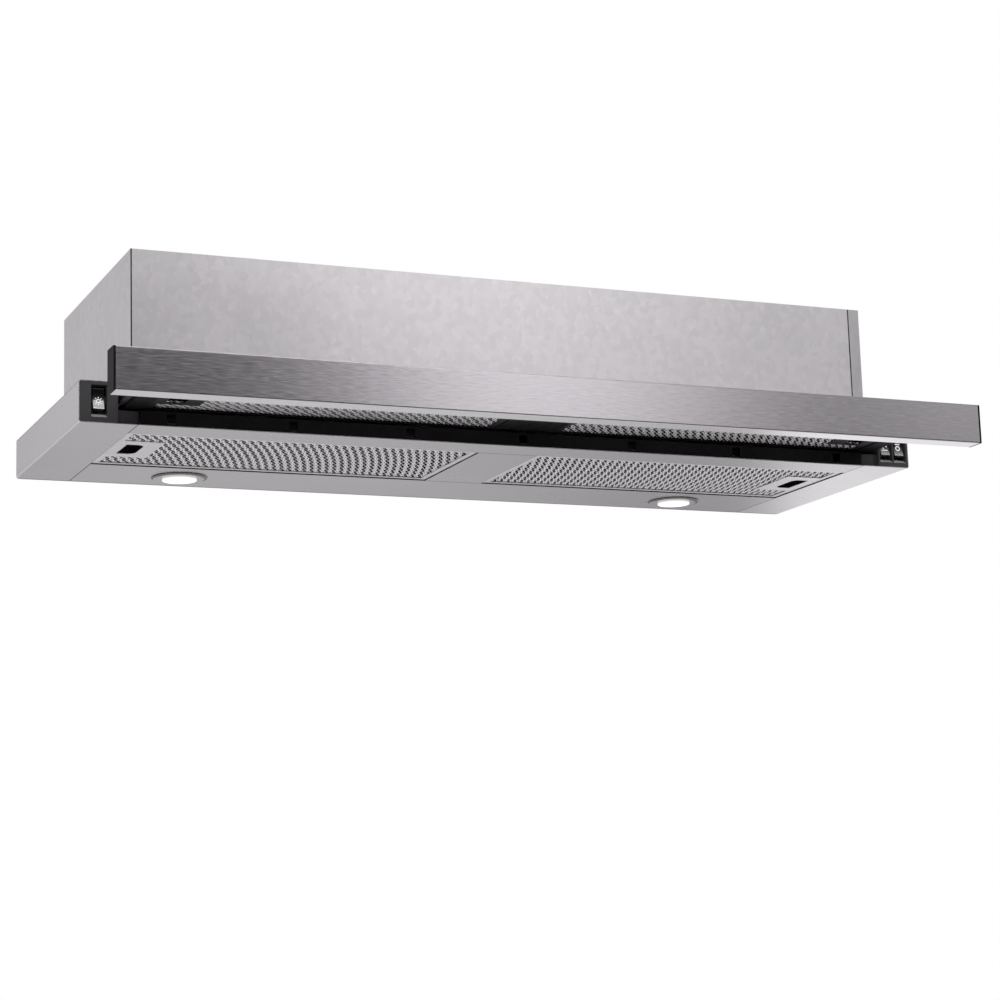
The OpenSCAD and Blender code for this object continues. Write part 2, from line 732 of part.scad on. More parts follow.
module blower_wheel() color([0.25, 0.25, 0.27]) at_wheel() rotate([0, 90, 0]) {
  difference() {
    union() {
      cylinder(h = ring_t, r = wheel_r - ring_w / 2, center = true);
      cylinder(h = hub_l, d = shaft_d + 2 * hub_wall, center = true);
    }
    cylinder(h = hub_l + 2 * past, d = shaft_d + 2 * run, center = true);
  }
  for (e = [-1, 1]) translate([0, 0, e * (wheel_w - ring_t) / 2]) difference() {
    cylinder(h = ring_t, r = wheel_r, center = true);
    cylinder(h = ring_t + 2 * past, r = wheel_r - ring_w, center = true);
  }
  translate([0, 0, (ring_t - wheel_w) / 2]) linear_extrude(wheel_w - ring_t) for (i = [0 : blades - 1])
    rotate(i * 360 / blades) blade();
}

motor_x0 = 12;
motor_end_l = 4;
motor_end_step = 9;
motor_rib = 2;
motor_rib_h = 0.8;
shaft_past = 4;
bracket_x0 = scroll_w / 2 + scroll_wall + touch;
bracket_t = 2;
bracket_ring = 4.5;
bracket_arm = 14;

module motor() color([0.55, 0.55, 0.57]) at_wheel() rotate([0, 90, 0]) difference() {
  body_l = motor_l - 2 * motor_end_l;
  translate([0, 0, motor_x0]) {
    translate([0, 0, motor_end_l]) cylinder(h = body_l, d = motor_d);
    cylinder(h = motor_l, r = motor_d / 2 - motor_end_step);
    for (a = [0 : 30 : 330]) rotate(a) translate([motor_d / 3, -motor_rib / 2, motor_l / 6])
      cube([motor_d / 6 + motor_rib_h, motor_rib, motor_l * 2 / 3]);
  }
  translate([0, 0, motor_x0 - past]) cylinder(h = motor_l + 2 * past, d = shaft_d + 2 * run);
}

module motor_bracket() color([0.3, 0.3, 0.32]) at_wheel() translate([bracket_x0, 0, 0]) rotate([0, 90, 0])
  linear_extrude(bracket_t) difference() {
    union() {
      circle(motor_d / 2 + bracket_ring);
      for (a = [90, 210, 330]) rotate(a) translate([0, -bracket_arm / 2])
        square([inlet_r + bracket_arm / 2, bracket_arm]);
    }
    circle(motor_d / 2 + motor_rib_h + touch);
  }

module motor_shaft() color("silver") at_wheel() rotate([0, 90, 0])
  translate([0, 0, -motor_x0]) cylinder(h = 2 * motor_x0 + motor_l + shaft_past, d = shaft_d);

// Electrical pieces under the top panel

box_z1 = top_z - sheet - touch;
capacitor_x = scroll_w / 2 + motor_l;
control_x = -body_half + 70;
control_y = body_y1 - 35;
vents = 8;
vent_w = 5;
vent_h = 14;
vent_d = 6;

module capacitor() color([0.9, 0.9, 0.88]) translate([capacitor_x, duct_y, box_z1 - capacitor_d / 2])
  rotate([0, 90, 0]) cylinder(h = capacitor_l, d = capacitor_d);

module control_box() color([0.2, 0.2, 0.2]) difference() {
  span([control_x, control_y - control_d, box_z1 - control_h], [control_x + control_l, control_y, box_z1]);
  translate([control_x, control_y - control_d, box_z1 - control_h / 2])
    for (i = [1 : vents]) translate([i * control_l / (vents + 1), 0, 0])
      cube([vent_w, 2 * vent_d, vent_h], center = true);
}

// The switch that the closing visor presses, behind the right filter
sensor_x = lamp_x + 13;
sensor_w = 18;
sensor_d = 12;
sensor_over = 8;
module visor_sensor() color([0.1, 0.1, 0.1])
  translate([sensor_x, window_y1 + seam / 2 + sheet + touch, sheet + touch])
    cube([sensor_w, sensor_d, visor_z + sensor_over - sheet - touch]);

// Slides: the outer ones stand on the end housings, the inner ones carry the visor

rail_in_z = rail_h / 2 + rail_gap;
rail_web_x = rail_x + rail_t + rail_gap;
rail_lip_x = visor_half + rail_gap + 2 * touch;
rail_foot_w = 16;
rail_end_room = 4;
rail_y0 = pod_d + rail_end_room;
rail_y1 = tray_d - rail_end_room;

module rail_outer(s) color("silver") on_side(s) along_y(rail_y0, rail_y1) union() {
  translate([rail_web_x, pod_z0]) square([rail_wall, rail_zc + rail_in_z + rail_wall - pod_z0]);
  translate([rail_web_x, pod_z0]) square([rail_foot_w, rail_wall]);
  for (z = [rail_zc - rail_in_z - rail_wall, rail_zc + rail_in_z])
    translate([rail_lip_x, z]) square([rail_web_x + rail_wall - rail_lip_x, rail_wall]);
}

// A groove along the moving slide's outer side makes it a channel
rail_in_y0 = visor_y0 + visor_front_d;
rail_groove_d = 1.6;
rail_groove_h = rail_h * 0.4;
module rail_inner(s) color("silver") on_side(s) difference() {
  span([rail_x, rail_in_y0, rail_zc - rail_h / 2],
    [rail_x + rail_t, rail_in_y0 + rail_l, rail_zc + rail_h / 2]);
  span([rail_x + rail_t - rail_groove_d, rail_in_y0 - past, rail_zc - rail_groove_h / 2],
    [rail_x + rail_t + past, rail_in_y0 + rail_l + past, rail_zc + rail_groove_h / 2]);
}

module rail_outer_left() rail_outer(-1);
module rail_outer_right() rail_outer(1);
module rail_inner_left() rail_inner(-1);
module rail_inner_right() rail_inner(1);

// Grease filters. Each is drawn for the right side between the corners a and b of its opening, with its
// underside at z. Tabs hold its inner end and a sprung latch its outer end.

filter_side_gap = filter_gap * 0.7;
function inner_y(a) = a[1] + filter_side_gap;
function outer_y(b) = b[1] - filter_side_gap;
function mid_y(a, b) = (a[1] + b[1]) / 2;

bolt_w = 24;
bolt_z0 = filter_sheet + seat;
bolt_t = 1.6;
cup_wall = 1.4;
cup_room = 1;
cup_z1 = filter_t - 2 * seat;
cup_l = finger_w + 2 * (cup_wall + cup_room);
cup_w = finger_l + 2 * (cup_wall + cup_room);
guide_t = 1;
tab_z0 = 0.2;
tab_z1 = 1.4;
mesh_t = 0.5;
core_z0 = filter_sheet + mesh_t + 2 * touch;
core_z1 = filter_t - filter_sheet - touch;
core_t = 0.5;

// The finger hole: one straight side outward, and round corners inward
module finger_hole(r = 8) {
  round_rect([-finger_w / 2, -finger_l / 2], [finger_w / 2, finger_l / 2], r);
  translate([0, -finger_l / 2]) square([finger_w / 2, finger_l]);
}

module filter_frame(a, b, z, plate_w = latch_plate_w) {
  x0 = a[0] + filter_gap;
  x1 = b[0] - filter_gap;
  y0 = inner_y(a);
  y1 = outer_y(b);
  yc = mid_y(a, b);
  translate([0, 0, z]) difference() {
    union() {
      difference() {
        span([x0, y0, 0], [x1, y1, filter_t]);
        span([x0 + filter_sheet, y0 + filter_sheet, filter_sheet],
          [x1 - filter_sheet, y1 - filter_sheet, filter_t - filter_sheet]);
        span([x0 + filter_bar, y0 + filter_bar, -past], [x1 - filter_bar, y1 - filter_bar, filter_t + past]);
      }
      span([x1 - latch_plate_l, yc - plate_w / 2, 0], [x1 - filter_bar, yc + plate_w / 2, filter_sheet]);
      for (e = [-1, 1]) translate([0, yc, 0]) mirror([0, e < 0 ? 1 : 0, 0])
        span([x1 - latch_plate_l, cup_w / 2 + seat, 0],
          [x1 - filter_sheet / 2, cup_w / 2 + seat + guide_t, filter_t - filter_sheet / 2]);
      for (y = tab_places(a[1], b[1]))
        span([x0 - tab_l, y - tab_w / 2, tab_z0], [x0 + filter_sheet / 2, y + tab_w / 2, tab_z1]);
    }
    translate([x1 - finger_x, yc, -past]) linear_extrude(2 * past) finger_hole();
    span([x1 - filter_sheet - past, yc - bolt_w / 2 - seat, bolt_z0 - touch],
      [x1 + past, yc + bolt_w / 2 + seat, bolt_z0 + bolt_t + seat]);
  }
}

// The room that the latch and its guides take in the filter
module latch_room(x1, yc) {
  w = cup_w / 2 + seat + guide_t + touch;
  span([x1 - latch_plate_l - seat, yc - w, -past], [x1 + past, yc + w, filter_t + past]);
}

module filter_mesh(a, b, z, plate_w = latch_plate_w, rows = mesh_rows) {
  x0 = a[0] + filter_gap + filter_sheet + touch;
  x1 = b[0] - filter_gap - filter_sheet - touch;
  y0 = inner_y(a) + filter_sheet + touch;
  y1 = outer_y(b) - filter_sheet - touch;
  yc = mid_y(a, b);
  edge = filter_bar - filter_sheet;
  wx = (x1 - x0 - 2 * edge) / mesh_columns;
  wy = (y1 - y0 - 2 * edge) / (rows + 1);
  web_y = mesh_web * sqrt(wx * wx / 4 + wy * wy) / wx;
  web_x = web_y * wx / (2 * wy);
  plate_x = b[0] - filter_gap - latch_plate_l;
  translate([0, 0, z + filter_sheet + touch]) linear_extrude(mesh_t) difference() {
    translate([x0, y0]) square([x1 - x0, y1 - y0]);
    translate([plate_x - seat, yc - plate_w / 2 - touch])
      square([latch_plate_l + past, plate_w + 2 * touch]);
    for (j = [0 : rows - 1], i = [0 : mesh_columns - 1 - j % 2]) {
      c = [x0 + edge + (i + 0.5 + (j % 2) / 2) * wx, y0 + edge + (j + 1) * wy];
      if (c[0] + wx / 2 < plate_x || abs(c[1] - yc) > plate_w / 2 + wy)
        translate(c) polygon([[web_x - wx / 2, 0], [0, web_y - wy], [wx / 2 - web_x, 0], [0, wy - web_y]]);
    }
  }
}

// The folded inner layer between the mesh and the frame's upper border
module filter_core(a, b, z) {
  x0 = a[0] + filter_gap + filter_sheet + touch;
  x1 = b[0] - filter_gap - filter_sheet - touch;
  n = floor((x1 - x0) / fold_pitch) * 2;
  low = core_z0;
  high = core_z1 - core_t;
  fold = [for (i = [0 : n]) [x0 + (x1 - x0) * i / n, i % 2 == 0 ? low : high]];
  back = [for (i = [n : -1 : 0]) fold[i] + [0, core_t]];
  translate([0, 0, z]) difference() {
    along_y(inner_y(a) + filter_sheet + touch, outer_y(b) - filter_sheet - touch) polygon(concat(fold, back));
    latch_room(b[0] - filter_gap, mid_y(a, b));
  }
}

// The latch is a finger cup with a bolt, pushed outward by its spring
module filter_latch(a, b, z) {
  x1 = b[0] - filter_gap;
  yc = mid_y(a, b);
  translate([x1 - finger_x, yc, z]) {
    difference() {
      span([-cup_l / 2, -cup_w / 2, bolt_z0], [cup_l / 2, cup_w / 2, cup_z1]);
      span([-cup_l / 2 + cup_wall, -cup_w / 2 + cup_wall, bolt_z0 - past],
        [cup_l / 2 - cup_wall, cup_w / 2 - cup_wall, cup_z1 - cup_wall]);
    }
    span([cup_l / 2 - touch, -bolt_w / 2, bolt_z0], [finger_x + bolt_out, bolt_w / 2, bolt_z0 + bolt_t]);
  }
}

// The openings for the filters in the lower casing and in the visor, and the height of their undersides
casing_a = [centre_w / 2, window_y0];
casing_b = [end_x, window_y1];
casing_z = sheet + touch;
visor_a = [centre_w / 2, visor_win_y0];
visor_b = [visor_side_x, visor_win_y1];
visor_filter_z = visor_z + visor_wall + touch;

module filter_frame_left() color("silver") on_side(-1) filter_frame(casing_a, casing_b, casing_z);
module filter_frame_right() color("silver") filter_frame(casing_a, casing_b, casing_z);
module filter_mesh_left() color("gray") on_side(-1) filter_mesh(casing_a, casing_b, casing_z);
module filter_mesh_right() color("gray") filter_mesh(casing_a, casing_b, casing_z);
module filter_core_left() color("dimgray") on_side(-1) filter_core(casing_a, casing_b, casing_z);
module filter_core_right() color("dimgray") filter_core(casing_a, casing_b, casing_z);
module filter_latch_left() color("black") on_side(-1) filter_latch(casing_a, casing_b, casing_z);
module filter_latch_right() color("black") filter_latch(casing_a, casing_b, casing_z);

module visor_filter_frame() filter_frame(visor_a, visor_b, visor_filter_z, visor_plate_w);
module visor_filter_mesh() filter_mesh(visor_a, visor_b, visor_filter_z, visor_plate_w, visor_mesh_rows);
module visor_filter_frame_left() color("silver") on_side(-1) visor_filter_frame();
module visor_filter_frame_right() color("silver") visor_filter_frame();
module visor_filter_mesh_left() color("gray") on_side(-1) visor_filter_mesh();
module visor_filter_mesh_right() color("gray") visor_filter_mesh();
module visor_filter_cores() color("dimgray") for (s = [-1, 1]) on_side(s)
  filter_core(visor_a, visor_b, visor_filter_z);
module visor_latch_left() color("black") on_side(-1) filter_latch(visor_a, visor_b, visor_filter_z);
module visor_latch_right() color("black") filter_latch(visor_a, visor_b, visor_filter_z);

// Visor

// One side member and half of the front and rear beams, drawn for the right side
module visor_half_frame() {
  y0 = visor_y0 + touch;
  y1 = visor_y1;
  z0 = visor_z;
  z1 = visor_top;
  w = visor_wall;
  span([visor_side_x, y0, z0], [visor_half, y1, z0 + w]);
  span([visor_side_x, y0, z1 - w], [visor_half, y1, z1]);
  span([visor_half - w, y0, z0], [visor_half, y1, z1]);
  span([visor_side_x, visor_win_y0, z0 + w], [visor_side_x + hem_w, visor_win_y1, z0 + w + hem_t]);
  span([0, y0, z0], [visor_half, visor_win_y0, z0 + w]);
  span([0, y0, z1 - w], [visor_half, visor_win_y0, z1]);
  span([0, y0, z0], [visor_half, y0 + w, z1]);
  span([0, visor_win_y1, z0], [visor_half, y1, z0 + w]);
  span([0, y1 - w, z0], [visor_half, y1, z0 + filter_t + w]);
}

module visor_frame() color([0.1, 0.1, 0.1]) difference() {
  for (s = [-1, 1]) on_side(s) visor_half_frame();
  for (x = fascia_screws_x) translate([x, visor_y0 - past, fascia_screw_z]) rotate([-90, 0, 0])
    cylinder(h = 4 * past, d = screw_hole_d);
}

module visor_centre_bar() color([0.12, 0.12, 0.13])
  divider(visor_win_y0 + touch, visor_win_y1 - touch, visor_z, visor_wall, filter_t);

module visor_top_plate() color("silver")
  span([-visor_half + touch, visor_y0 + touch, visor_top + touch],
    [visor_half - touch, visor_y1, visor_top + touch + sheet]);

cap_x = fascia_half - cap_t;
module fascia_section(inset) round_rect([fascia_y0 + inset, inset],
  [visor_y0 - inset, fascia_h - inset], max(fascia_r - inset, fascia_r / 4));

module fascia_panel() color([0.65, 0.65, 0.66]) difference() {
  along_x(-cap_x + touch, cap_x - touch) difference() {
    fascia_section(0);
    fascia_section(sheet);
    translate([visor_y0 - 2 * sheet, fascia_lip]) square([3 * sheet, fascia_h - 2 * fascia_lip]);
  }
  for (x = fascia_screws_x) translate([x, visor_y0 - past, fascia_screw_z]) rotate([-90, 0, 0])
    cylinder(h = 4 * past, d = fascia_screw_d + 4 * touch);
}

plug_wall = 2;
module fascia_cap(s) color([0.22, 0.22, 0.23]) on_side(s) {
  along_x(cap_x, fascia_half) fascia_section(0);
  along_x(cap_x - cap_plug, cap_x + touch) difference() {
    fascia_section(sheet + 2 * touch);
    fascia_section(sheet + 2 * touch + plug_wall);
  }
}

module fascia_cap_left() fascia_cap(-1);
module fascia_cap_right() fascia_cap(1);

// The heads lie inside the visor's front beam, and the points are inside the fascia
module fascia_screws() color("gray") for (x = fascia_screws_x)
  translate([x, visor_y0 + touch + visor_wall, fascia_screw_z]) rotate([-90, 0, 0]) {
    cylinder(h = screw_head_h, d = screw_head_d);
    translate([0, 0, -fascia_screw_l]) cylinder(h = fascia_screw_l + touch, d = fascia_screw_d);
  }

module casing_screws() color("gray") {
  for (s = [-1, 1], y = foot_screws) translate([s * screw_foot_x, y, ledge_z + sheet])
    screw(foot_screw_l);
  at_duct() for (p = collar_screws) translate([p[0], p[1], collar_flange_t]) screw(collar_screw_l);
}

hood() side_panel_left();
hood() side_panel_right();
hood() front_cover();
hood() top_panel();
hood() back_panel();
hood() end_housing_left();
hood() end_housing_right();
hood() front_strip();
hood() centre_plate();
hood() rear_panel();
hood() front_sill();
hood() switch_pod_left();
hood() switch_pod_right();
hood() light_key();
hood() fan_key();
hood() speed_key();
hood() lamp_ring_left();
hood() lamp_ring_right();
hood() lamp_lens_left();
hood() lamp_lens_right();
hood() led_boards();
hood() duct_collar();
hood() damper_flap_front();
hood() damper_flap_rear();
hood() cable_gland();
hood() blower_scroll();
hood() blower_wheel();
hood() motor();
hood() motor_bracket();
hood() motor_shaft();
hood() capacitor();
hood() control_box();
hood() rail_outer_left();
hood() rail_outer_right();
hood() rail_inner_left();
hood() rail_inner_right();
hood() visor_sensor();
hood() filter_frame_left();
hood() filter_frame_right();
hood() filter_mesh_left();
hood() filter_mesh_right();
hood() filter_core_left();
hood() filter_core_right();
hood() filter_latch_left();
hood() filter_latch_right();
hood() visor_frame();
hood() visor_centre_bar();
hood() visor_top_plate();
hood() visor_filter_frame_left();
hood() visor_filter_frame_right();
hood() visor_filter_mesh_left();
hood() visor_filter_mesh_right();
hood() visor_filter_cores();
hood() visor_latch_left();
hood() visor_latch_right();
hood() fascia_panel();
hood() fascia_cap_left();
hood() fascia_cap_right();
hood() fascia_screws();
hood() casing_screws();
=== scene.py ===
import json
import math
from collections import namedtuple

import bpy
from mathutils import Matrix, Vector


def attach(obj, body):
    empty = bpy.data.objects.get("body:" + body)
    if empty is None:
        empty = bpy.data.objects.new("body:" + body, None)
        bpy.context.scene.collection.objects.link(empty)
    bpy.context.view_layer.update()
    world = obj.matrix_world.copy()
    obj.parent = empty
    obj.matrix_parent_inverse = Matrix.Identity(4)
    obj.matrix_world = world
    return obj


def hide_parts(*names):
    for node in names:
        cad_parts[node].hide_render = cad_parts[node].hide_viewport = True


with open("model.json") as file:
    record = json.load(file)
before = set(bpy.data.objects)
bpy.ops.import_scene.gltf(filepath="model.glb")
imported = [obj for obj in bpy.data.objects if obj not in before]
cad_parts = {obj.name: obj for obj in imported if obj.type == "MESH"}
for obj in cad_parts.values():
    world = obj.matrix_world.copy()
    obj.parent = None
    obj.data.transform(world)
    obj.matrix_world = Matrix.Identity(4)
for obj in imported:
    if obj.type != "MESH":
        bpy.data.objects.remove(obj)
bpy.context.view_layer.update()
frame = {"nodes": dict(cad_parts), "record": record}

# Pull-out range hood: camera, light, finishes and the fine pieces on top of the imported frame.
# Metres, in the frame of the part: X right, Y back, Z up, origin on the duct's axis at the
# collar's shoulder.

NODES = frame["nodes"]
SCENE = bpy.context.scene
MM = 0.001
ORIGIN_Y, ORIGIN_Z = 165, 173      # of the part's frame, in the drawing of the lower casing


def hood(x, y, z):
    """A point of the lower casing's drawing, in metres in the frame of the part.

    The drawing is in millimetres from the casing's front plane and underside.
    """
    return Vector((x * MM, (y - ORIGIN_Y) * MM, (z - ORIGIN_Z) * MM))


# ---------------------------------------------------------------- camera

# The photograph's camera, solved from corners of the hood: degrees turned to the right, up and
# over, then its place and its lens.
CAMERA_TURN = (23.2567, 10.4403, -1.7623)
CAMERA_PLACE = (-0.951541, -2.314740, -0.659271)
CAMERA_LENS = 86.869


def make_camera():
    """Below the hood and to its left, looking up a little, as the photograph was taken."""
    yaw, pitch, roll = (math.radians(a) for a in CAMERA_TURN)
    forward = Vector((math.sin(yaw) * math.cos(pitch), math.cos(yaw) * math.cos(pitch),
                      math.sin(pitch)))
    level = Vector((math.cos(yaw), -math.sin(yaw), 0))
    upright = level.cross(forward)
    right = math.cos(roll) * level + math.sin(roll) * upright
    up = -math.sin(roll) * level + math.cos(roll) * upright
    turn = Matrix((right, up, -forward)).transposed()
    data = bpy.data.cameras.new("camera")
    data.sensor_width = 36
    data.lens = CAMERA_LENS
    data.clip_end = 50
    camera = bpy.data.objects.new("camera", data)
    camera.matrix_world = Matrix.Translation(CAMERA_PLACE) @ turn.to_4x4()
    SCENE.collection.objects.link(camera)
    SCENE.camera = camera


# ---------------------------------------------------------------- node helpers

class Tree:
    """Short hand for building a shader. Every input takes a value or another node's output."""

    def __init__(self, owner):
        owner.use_nodes = True
        self.tree = owner.node_tree
        self.tree.nodes.clear()

    def node(self, kind, inputs=(), **settings):
        n = self.tree.nodes.new(kind)
        for key, value in settings.items():
            setattr(n, key, value)
        for key, value in dict(inputs).items():
            if hasattr(value, "is_output"):
                self.tree.links.new(value, n.inputs[key])
            else:
                n.inputs[key].default_value = value
        return n

    def math(self, operation, a, b=0.0):
        return self.node("ShaderNodeMath", {0: a, 1: b}, operation=operation).outputs[0]

    def both(self, first, *others):
        """The product of masks: 1 where all of them are 1."""
        for mask in others:
            first = self.math("MULTIPLY", first, mask)
        return first

    def either(self, first, *others):
        """The largest of masks: 1 where one of them is 1."""
        for mask in others:
            first = self.math("MAXIMUM", first, mask)
        return first

    def blend(self, *parts):
        """The sum of values, each given with its share."""
        total, *others = (self.math("MULTIPLY", value, share) for value, share in parts)
        for part in others:
            total = self.math("ADD", total, part)
        return total

    def band(self, value, low, high):
        """1 where the value lies between low and high."""
        middle, half = (low + high) / 2, (high - low) / 2
        return self.node("ShaderNodeMath", {0: value, 1: middle, 2: half},
                         operation="COMPARE").outputs[0]

    def rise(self, value, start, end, **settings):
        """0 where the value is below start, 1 where it is beyond end."""
        return self.node("ShaderNodeMapRange", {"Value": value, "From Min": start, "From Max": end},
                         **settings).outputs["Result"]

    def between(self, noise, low, high):
        """A number from low to high, as the noise has it."""
        return self.node("ShaderNodeMapRange", {"Value": noise, "From Min": 0.3, "From Max": 0.7,
                         "To Min": low, "To Max": high}).outputs["Result"]

    def ramp(self, value, stops):
        n = self.node("ShaderNodeValToRGB", {"Fac": value})
        elements = n.color_ramp.elements
        while len(elements) < len(stops):
            elements.new(0.5)
        for element, (place, color) in zip(elements, stops):
            element.position = place
            element.color = color if len(color) == 4 else (*color, 1)
        return n.outputs["Color"]

    def tint(self, noise, low, high):
        """A colour from low to high, as the noise has it."""
        return self.ramp(noise, [(0.3, low), (0.7, high)])

    def mix(self, factor, low, high):
        """The colour low where the factor is 0 and high where it is 1."""
        return self.node("ShaderNodeMix", {"Factor": factor, 6: low, 7: high},
                         data_type="RGBA").outputs[2]

    def vector(self, x, y, z=0.0):
        return self.node("ShaderNodeCombineXYZ", {"X": x, "Y": y, "Z": z}).outputs[0]

    def length(self, vector):
        return self.node("ShaderNodeVectorMath", {0: vector}, operation="LENGTH").outputs["Value"]

    def coordinates(self):
        return self.node("ShaderNodeTexCoord").outputs["Object"]

    def position(self):
        """X, Y and Z of the point, in the frame of the part."""
        return self.node("ShaderNodeSeparateXYZ", {0: self.coordinates()}).outputs

    def facing(self, normal="True Normal"):
        """How far the face looks up (1) or down (-1)."""
        normal = self.node("ShaderNodeNewGeometry").outputs[normal]
        return self.node("ShaderNodeSeparateXYZ", {0: normal}).outputs["Z"]

    def stretched(self, scale=(1, 1, 1)):
        return self.node("ShaderNodeMapping", {"Vector": self.coordinates(),
                         "Scale": scale}).outputs["Vector"]

    def noise(self, scale, stretch=(1, 1, 1), detail=3.0, rough=0.5):
        return self.node("ShaderNodeTexNoise", {"Vector": self.stretched(stretch), "Scale": scale,
                         "Detail": detail, "Roughness": rough}).outputs["Fac"]

    def bump(self, height, strength, distance=0.0002):
        return self.node("ShaderNodeBump", {"Height": height, "Strength": strength,
                         "Distance": distance}).outputs["Normal"]

    def principled(self, color, rough, **sockets):
        """A Principled shader; further sockets are named with _ for each blank."""
        inputs = {"Base Color": color, "Roughness": rough}
        inputs.update({key.replace("_", " "): value for key, value in sockets.items()})
        return self.node("ShaderNodeBsdfPrincipled", inputs).outputs[0]

    def emission(self, color):
        return self.node("ShaderNodeEmission", {"Color": color, "Strength": 1.0}).outputs[0]

    def mix_shaders(self, factor, low, high):
        return self.node("ShaderNodeMixShader", {0: factor, 1: low, 2: high}).outputs[0]

    def finish(self, shader):
        self.node("ShaderNodeOutputMaterial", {"Surface": shader})


def grey(v, tint=0.0):
    """A grey of brightness v; tint takes a little green out of it."""
    return (v, v * (1 - tint), v, 1)


def new_material(name):
    material = bpy.data.materials.new(name)
    return material, Tree(material)


# ---------------------------------------------------------------- places that a finish marks
# Ranges in metres, in the frame of the part.

COVER_FRONT_Y = (-0.1635, -0.1610)
COVER_GAPS_X = ((-0.3985, -0.3968), (0.3842, 0.3856))
HOUSING_SEAM_X = (0.3914, 0.3924)       # on both sides
PLATE_SEAMS_Y = ((-0.1266, -0.1254), (0.0242, 0.0256))
PLATE_HALF = 0.033                      # half the length of the centre plate's seams
REAR_HEM_Y = (0.1152, 0.1185)
LAMP_X = 0.287                          # middle of each lamp, left and right
RING_INSIDE = (0.0750, 0.0265)          # y and radius of the two circles that bound the crescent
RING_OUTSIDE = (0.0715, 0.0292)
OPENINGS_X = (-0.394, 0.394)            # the part of the underside that has openings
OPENINGS_Y = (-0.16, 0.1175)
EDGES_BELOW_Z = -0.1719
RIGHT_END_X = 0.3915
BENDS_Y = (-0.166, 0.1175)
SCOOP_Y = (-0.168, -0.160)              # the sloping foot of each pocket in the pods
KEY_BRIGHT_TO_DARK_Z = (-0.1560, -0.1490)


def cover_gap_shade(t):
    """1 in the narrow gaps at the two ends of the front cover, which get painted shade."""
    place = t.position()
    ends = t.either(*(t.band(place["X"], *gap) for gap in COVER_GAPS_X))
    return t.both(t.band(place["Y"], *COVER_FRONT_Y), ends)


def seam_and_hem_shade(t):
    """1 in the thin folds along the seams of the underside and along its rear edge, which get
    painted shade.
    """
    place = t.position()
    side = t.math("ABSOLUTE", place["X"])
    short = t.math("LESS_THAN", side, PLATE_HALF)
    plate = (t.both(t.band(place["Y"], *seam), short) for seam in PLATE_SEAMS_Y)
    lines = t.either(t.band(side, *HOUSING_SEAM_X), t.band(place["Y"], *REAR_HEM_Y), *plate)
    return t.both(lines, t.math("LESS_THAN", t.facing(), -0.2))


def ring_shade(t):
    """1 on the crescent at the front of each lamp ring, where its rim turns from the light."""
    place = t.position()
    across = t.math("SUBTRACT", t.math("ABSOLUTE", place["X"]), LAMP_X)
    inner, outer = (t.length(t.vector(across, t.math("SUBTRACT", place["Y"], y)))
                    for y, _ in (RING_INSIDE, RING_OUTSIDE))
    return t.both(t.math("GREATER_THAN", inner, RING_INSIDE[1]),
                  t.math("LESS_THAN", outer, RING_OUTSIDE[1]))


def opening_wall_shade(t):
    """1 on the cut edges round the openings of the underside, which get painted shade."""
    place = t.position()
    return t.both(t.band(t.facing(), -0.3, 0.3), t.math("LESS_THAN", place["Z"], EDGES_BELOW_Z),
                  t.band(place["X"], *OPENINGS_X), t.band(place["Y"], *OPENINGS_Y))


def scoop_highlight(t):
    """1 on the sloping foot of each pocket in the pods, which gets a painted highlight."""
    return t.both(t.band(t.facing(), 0.5, 0.95), t.band(t.position()["Y"], *SCOOP_Y))


# ---------------------------------------------------------------- finishes

def galvanised(name, dark, light):
    """Zinc-coated sheet: a faint spangle with a few brighter flakes, and painted shade in the gaps
    at the ends of the cover.
    """
    m, t = new_material(name)
    cells = t.node("ShaderNodeTexVoronoi", {"Vector": t.stretched((1, 1, 0.8)), "Scale": 170.0,
                   "Randomness": 1.0}, feature="F1").outputs["Color"]
    spangle = t.node("ShaderNodeSeparateColor", {"Color": cells}).outputs["Red"]
    cloud = t.noise(7, detail=4)
    flakes = t.rise(t.noise(105, detail=1), 0.60, 0.72)
    mixed = t.blend((spangle, 0.22), (cloud, 0.78), (flakes, 0.14))
    color = t.tint(mixed, grey(dark, 0.04), grey(light, 0.04))
    # Painted shade: a dark line in the gaps at the two ends of the front cover.
    color = t.mix(cover_gap_shade(t), color, grey(0.05))
    t.finish(t.principled(color, t.between(cloud, 0.31, 0.36), Metallic=0.88,
                          Normal=t.bump(t.noise(900, detail=2), 0.12)))
    return m


def bright_sheet():
    """Fine-ground steel of the lower casing: a soft grain along its length, faint clouding, painted
    highlights on its right end and bends, and painted shade at the lamp rings, round the openings,
    in the seams and along the rear hem.
    """
    m, t = new_material("bright_sheet")
    grain = t.noise(1.0, (22, 700, 700), detail=4)
    mixed = t.blend((grain, 0.25), (t.noise(5, detail=3), 0.75))
    color = t.tint(mixed, grey(0.54, 0.05), grey(0.59, 0.05))
    # Painted highlight: the right end of the underside is lightened half-way toward a pale grey.
    right_end_highlight = t.math("GREATER_THAN", t.position()["X"], RIGHT_END_X)
    color = t.mix(t.math("MULTIPLY", right_end_highlight, 0.5), color, grey(0.84, 0.04))
    # Painted highlight along the rounded bends of the lower casing.
    bend_highlight = t.both(t.band(t.facing(), -0.93, -0.25), t.band(t.position()["Y"], *BENDS_Y))
    color = t.mix(bend_highlight, color, grey(0.88, 0.03))
    # Painted shade, nearly black: on the lamp rings' front crescents, the walls round the openings,
    # the seams and the rear hem.
    shade = t.math("MULTIPLY", ring_shade(t), 0.8)
    color = t.mix(t.either(shade, opening_wall_shade(t), seam_and_hem_shade(t)), color, grey(0.02))
    t.finish(t.principled(color, t.between(mixed, 0.24, 0.30), Metallic=0.92,
                          Normal=t.bump(grain, 0.02)))
    return m


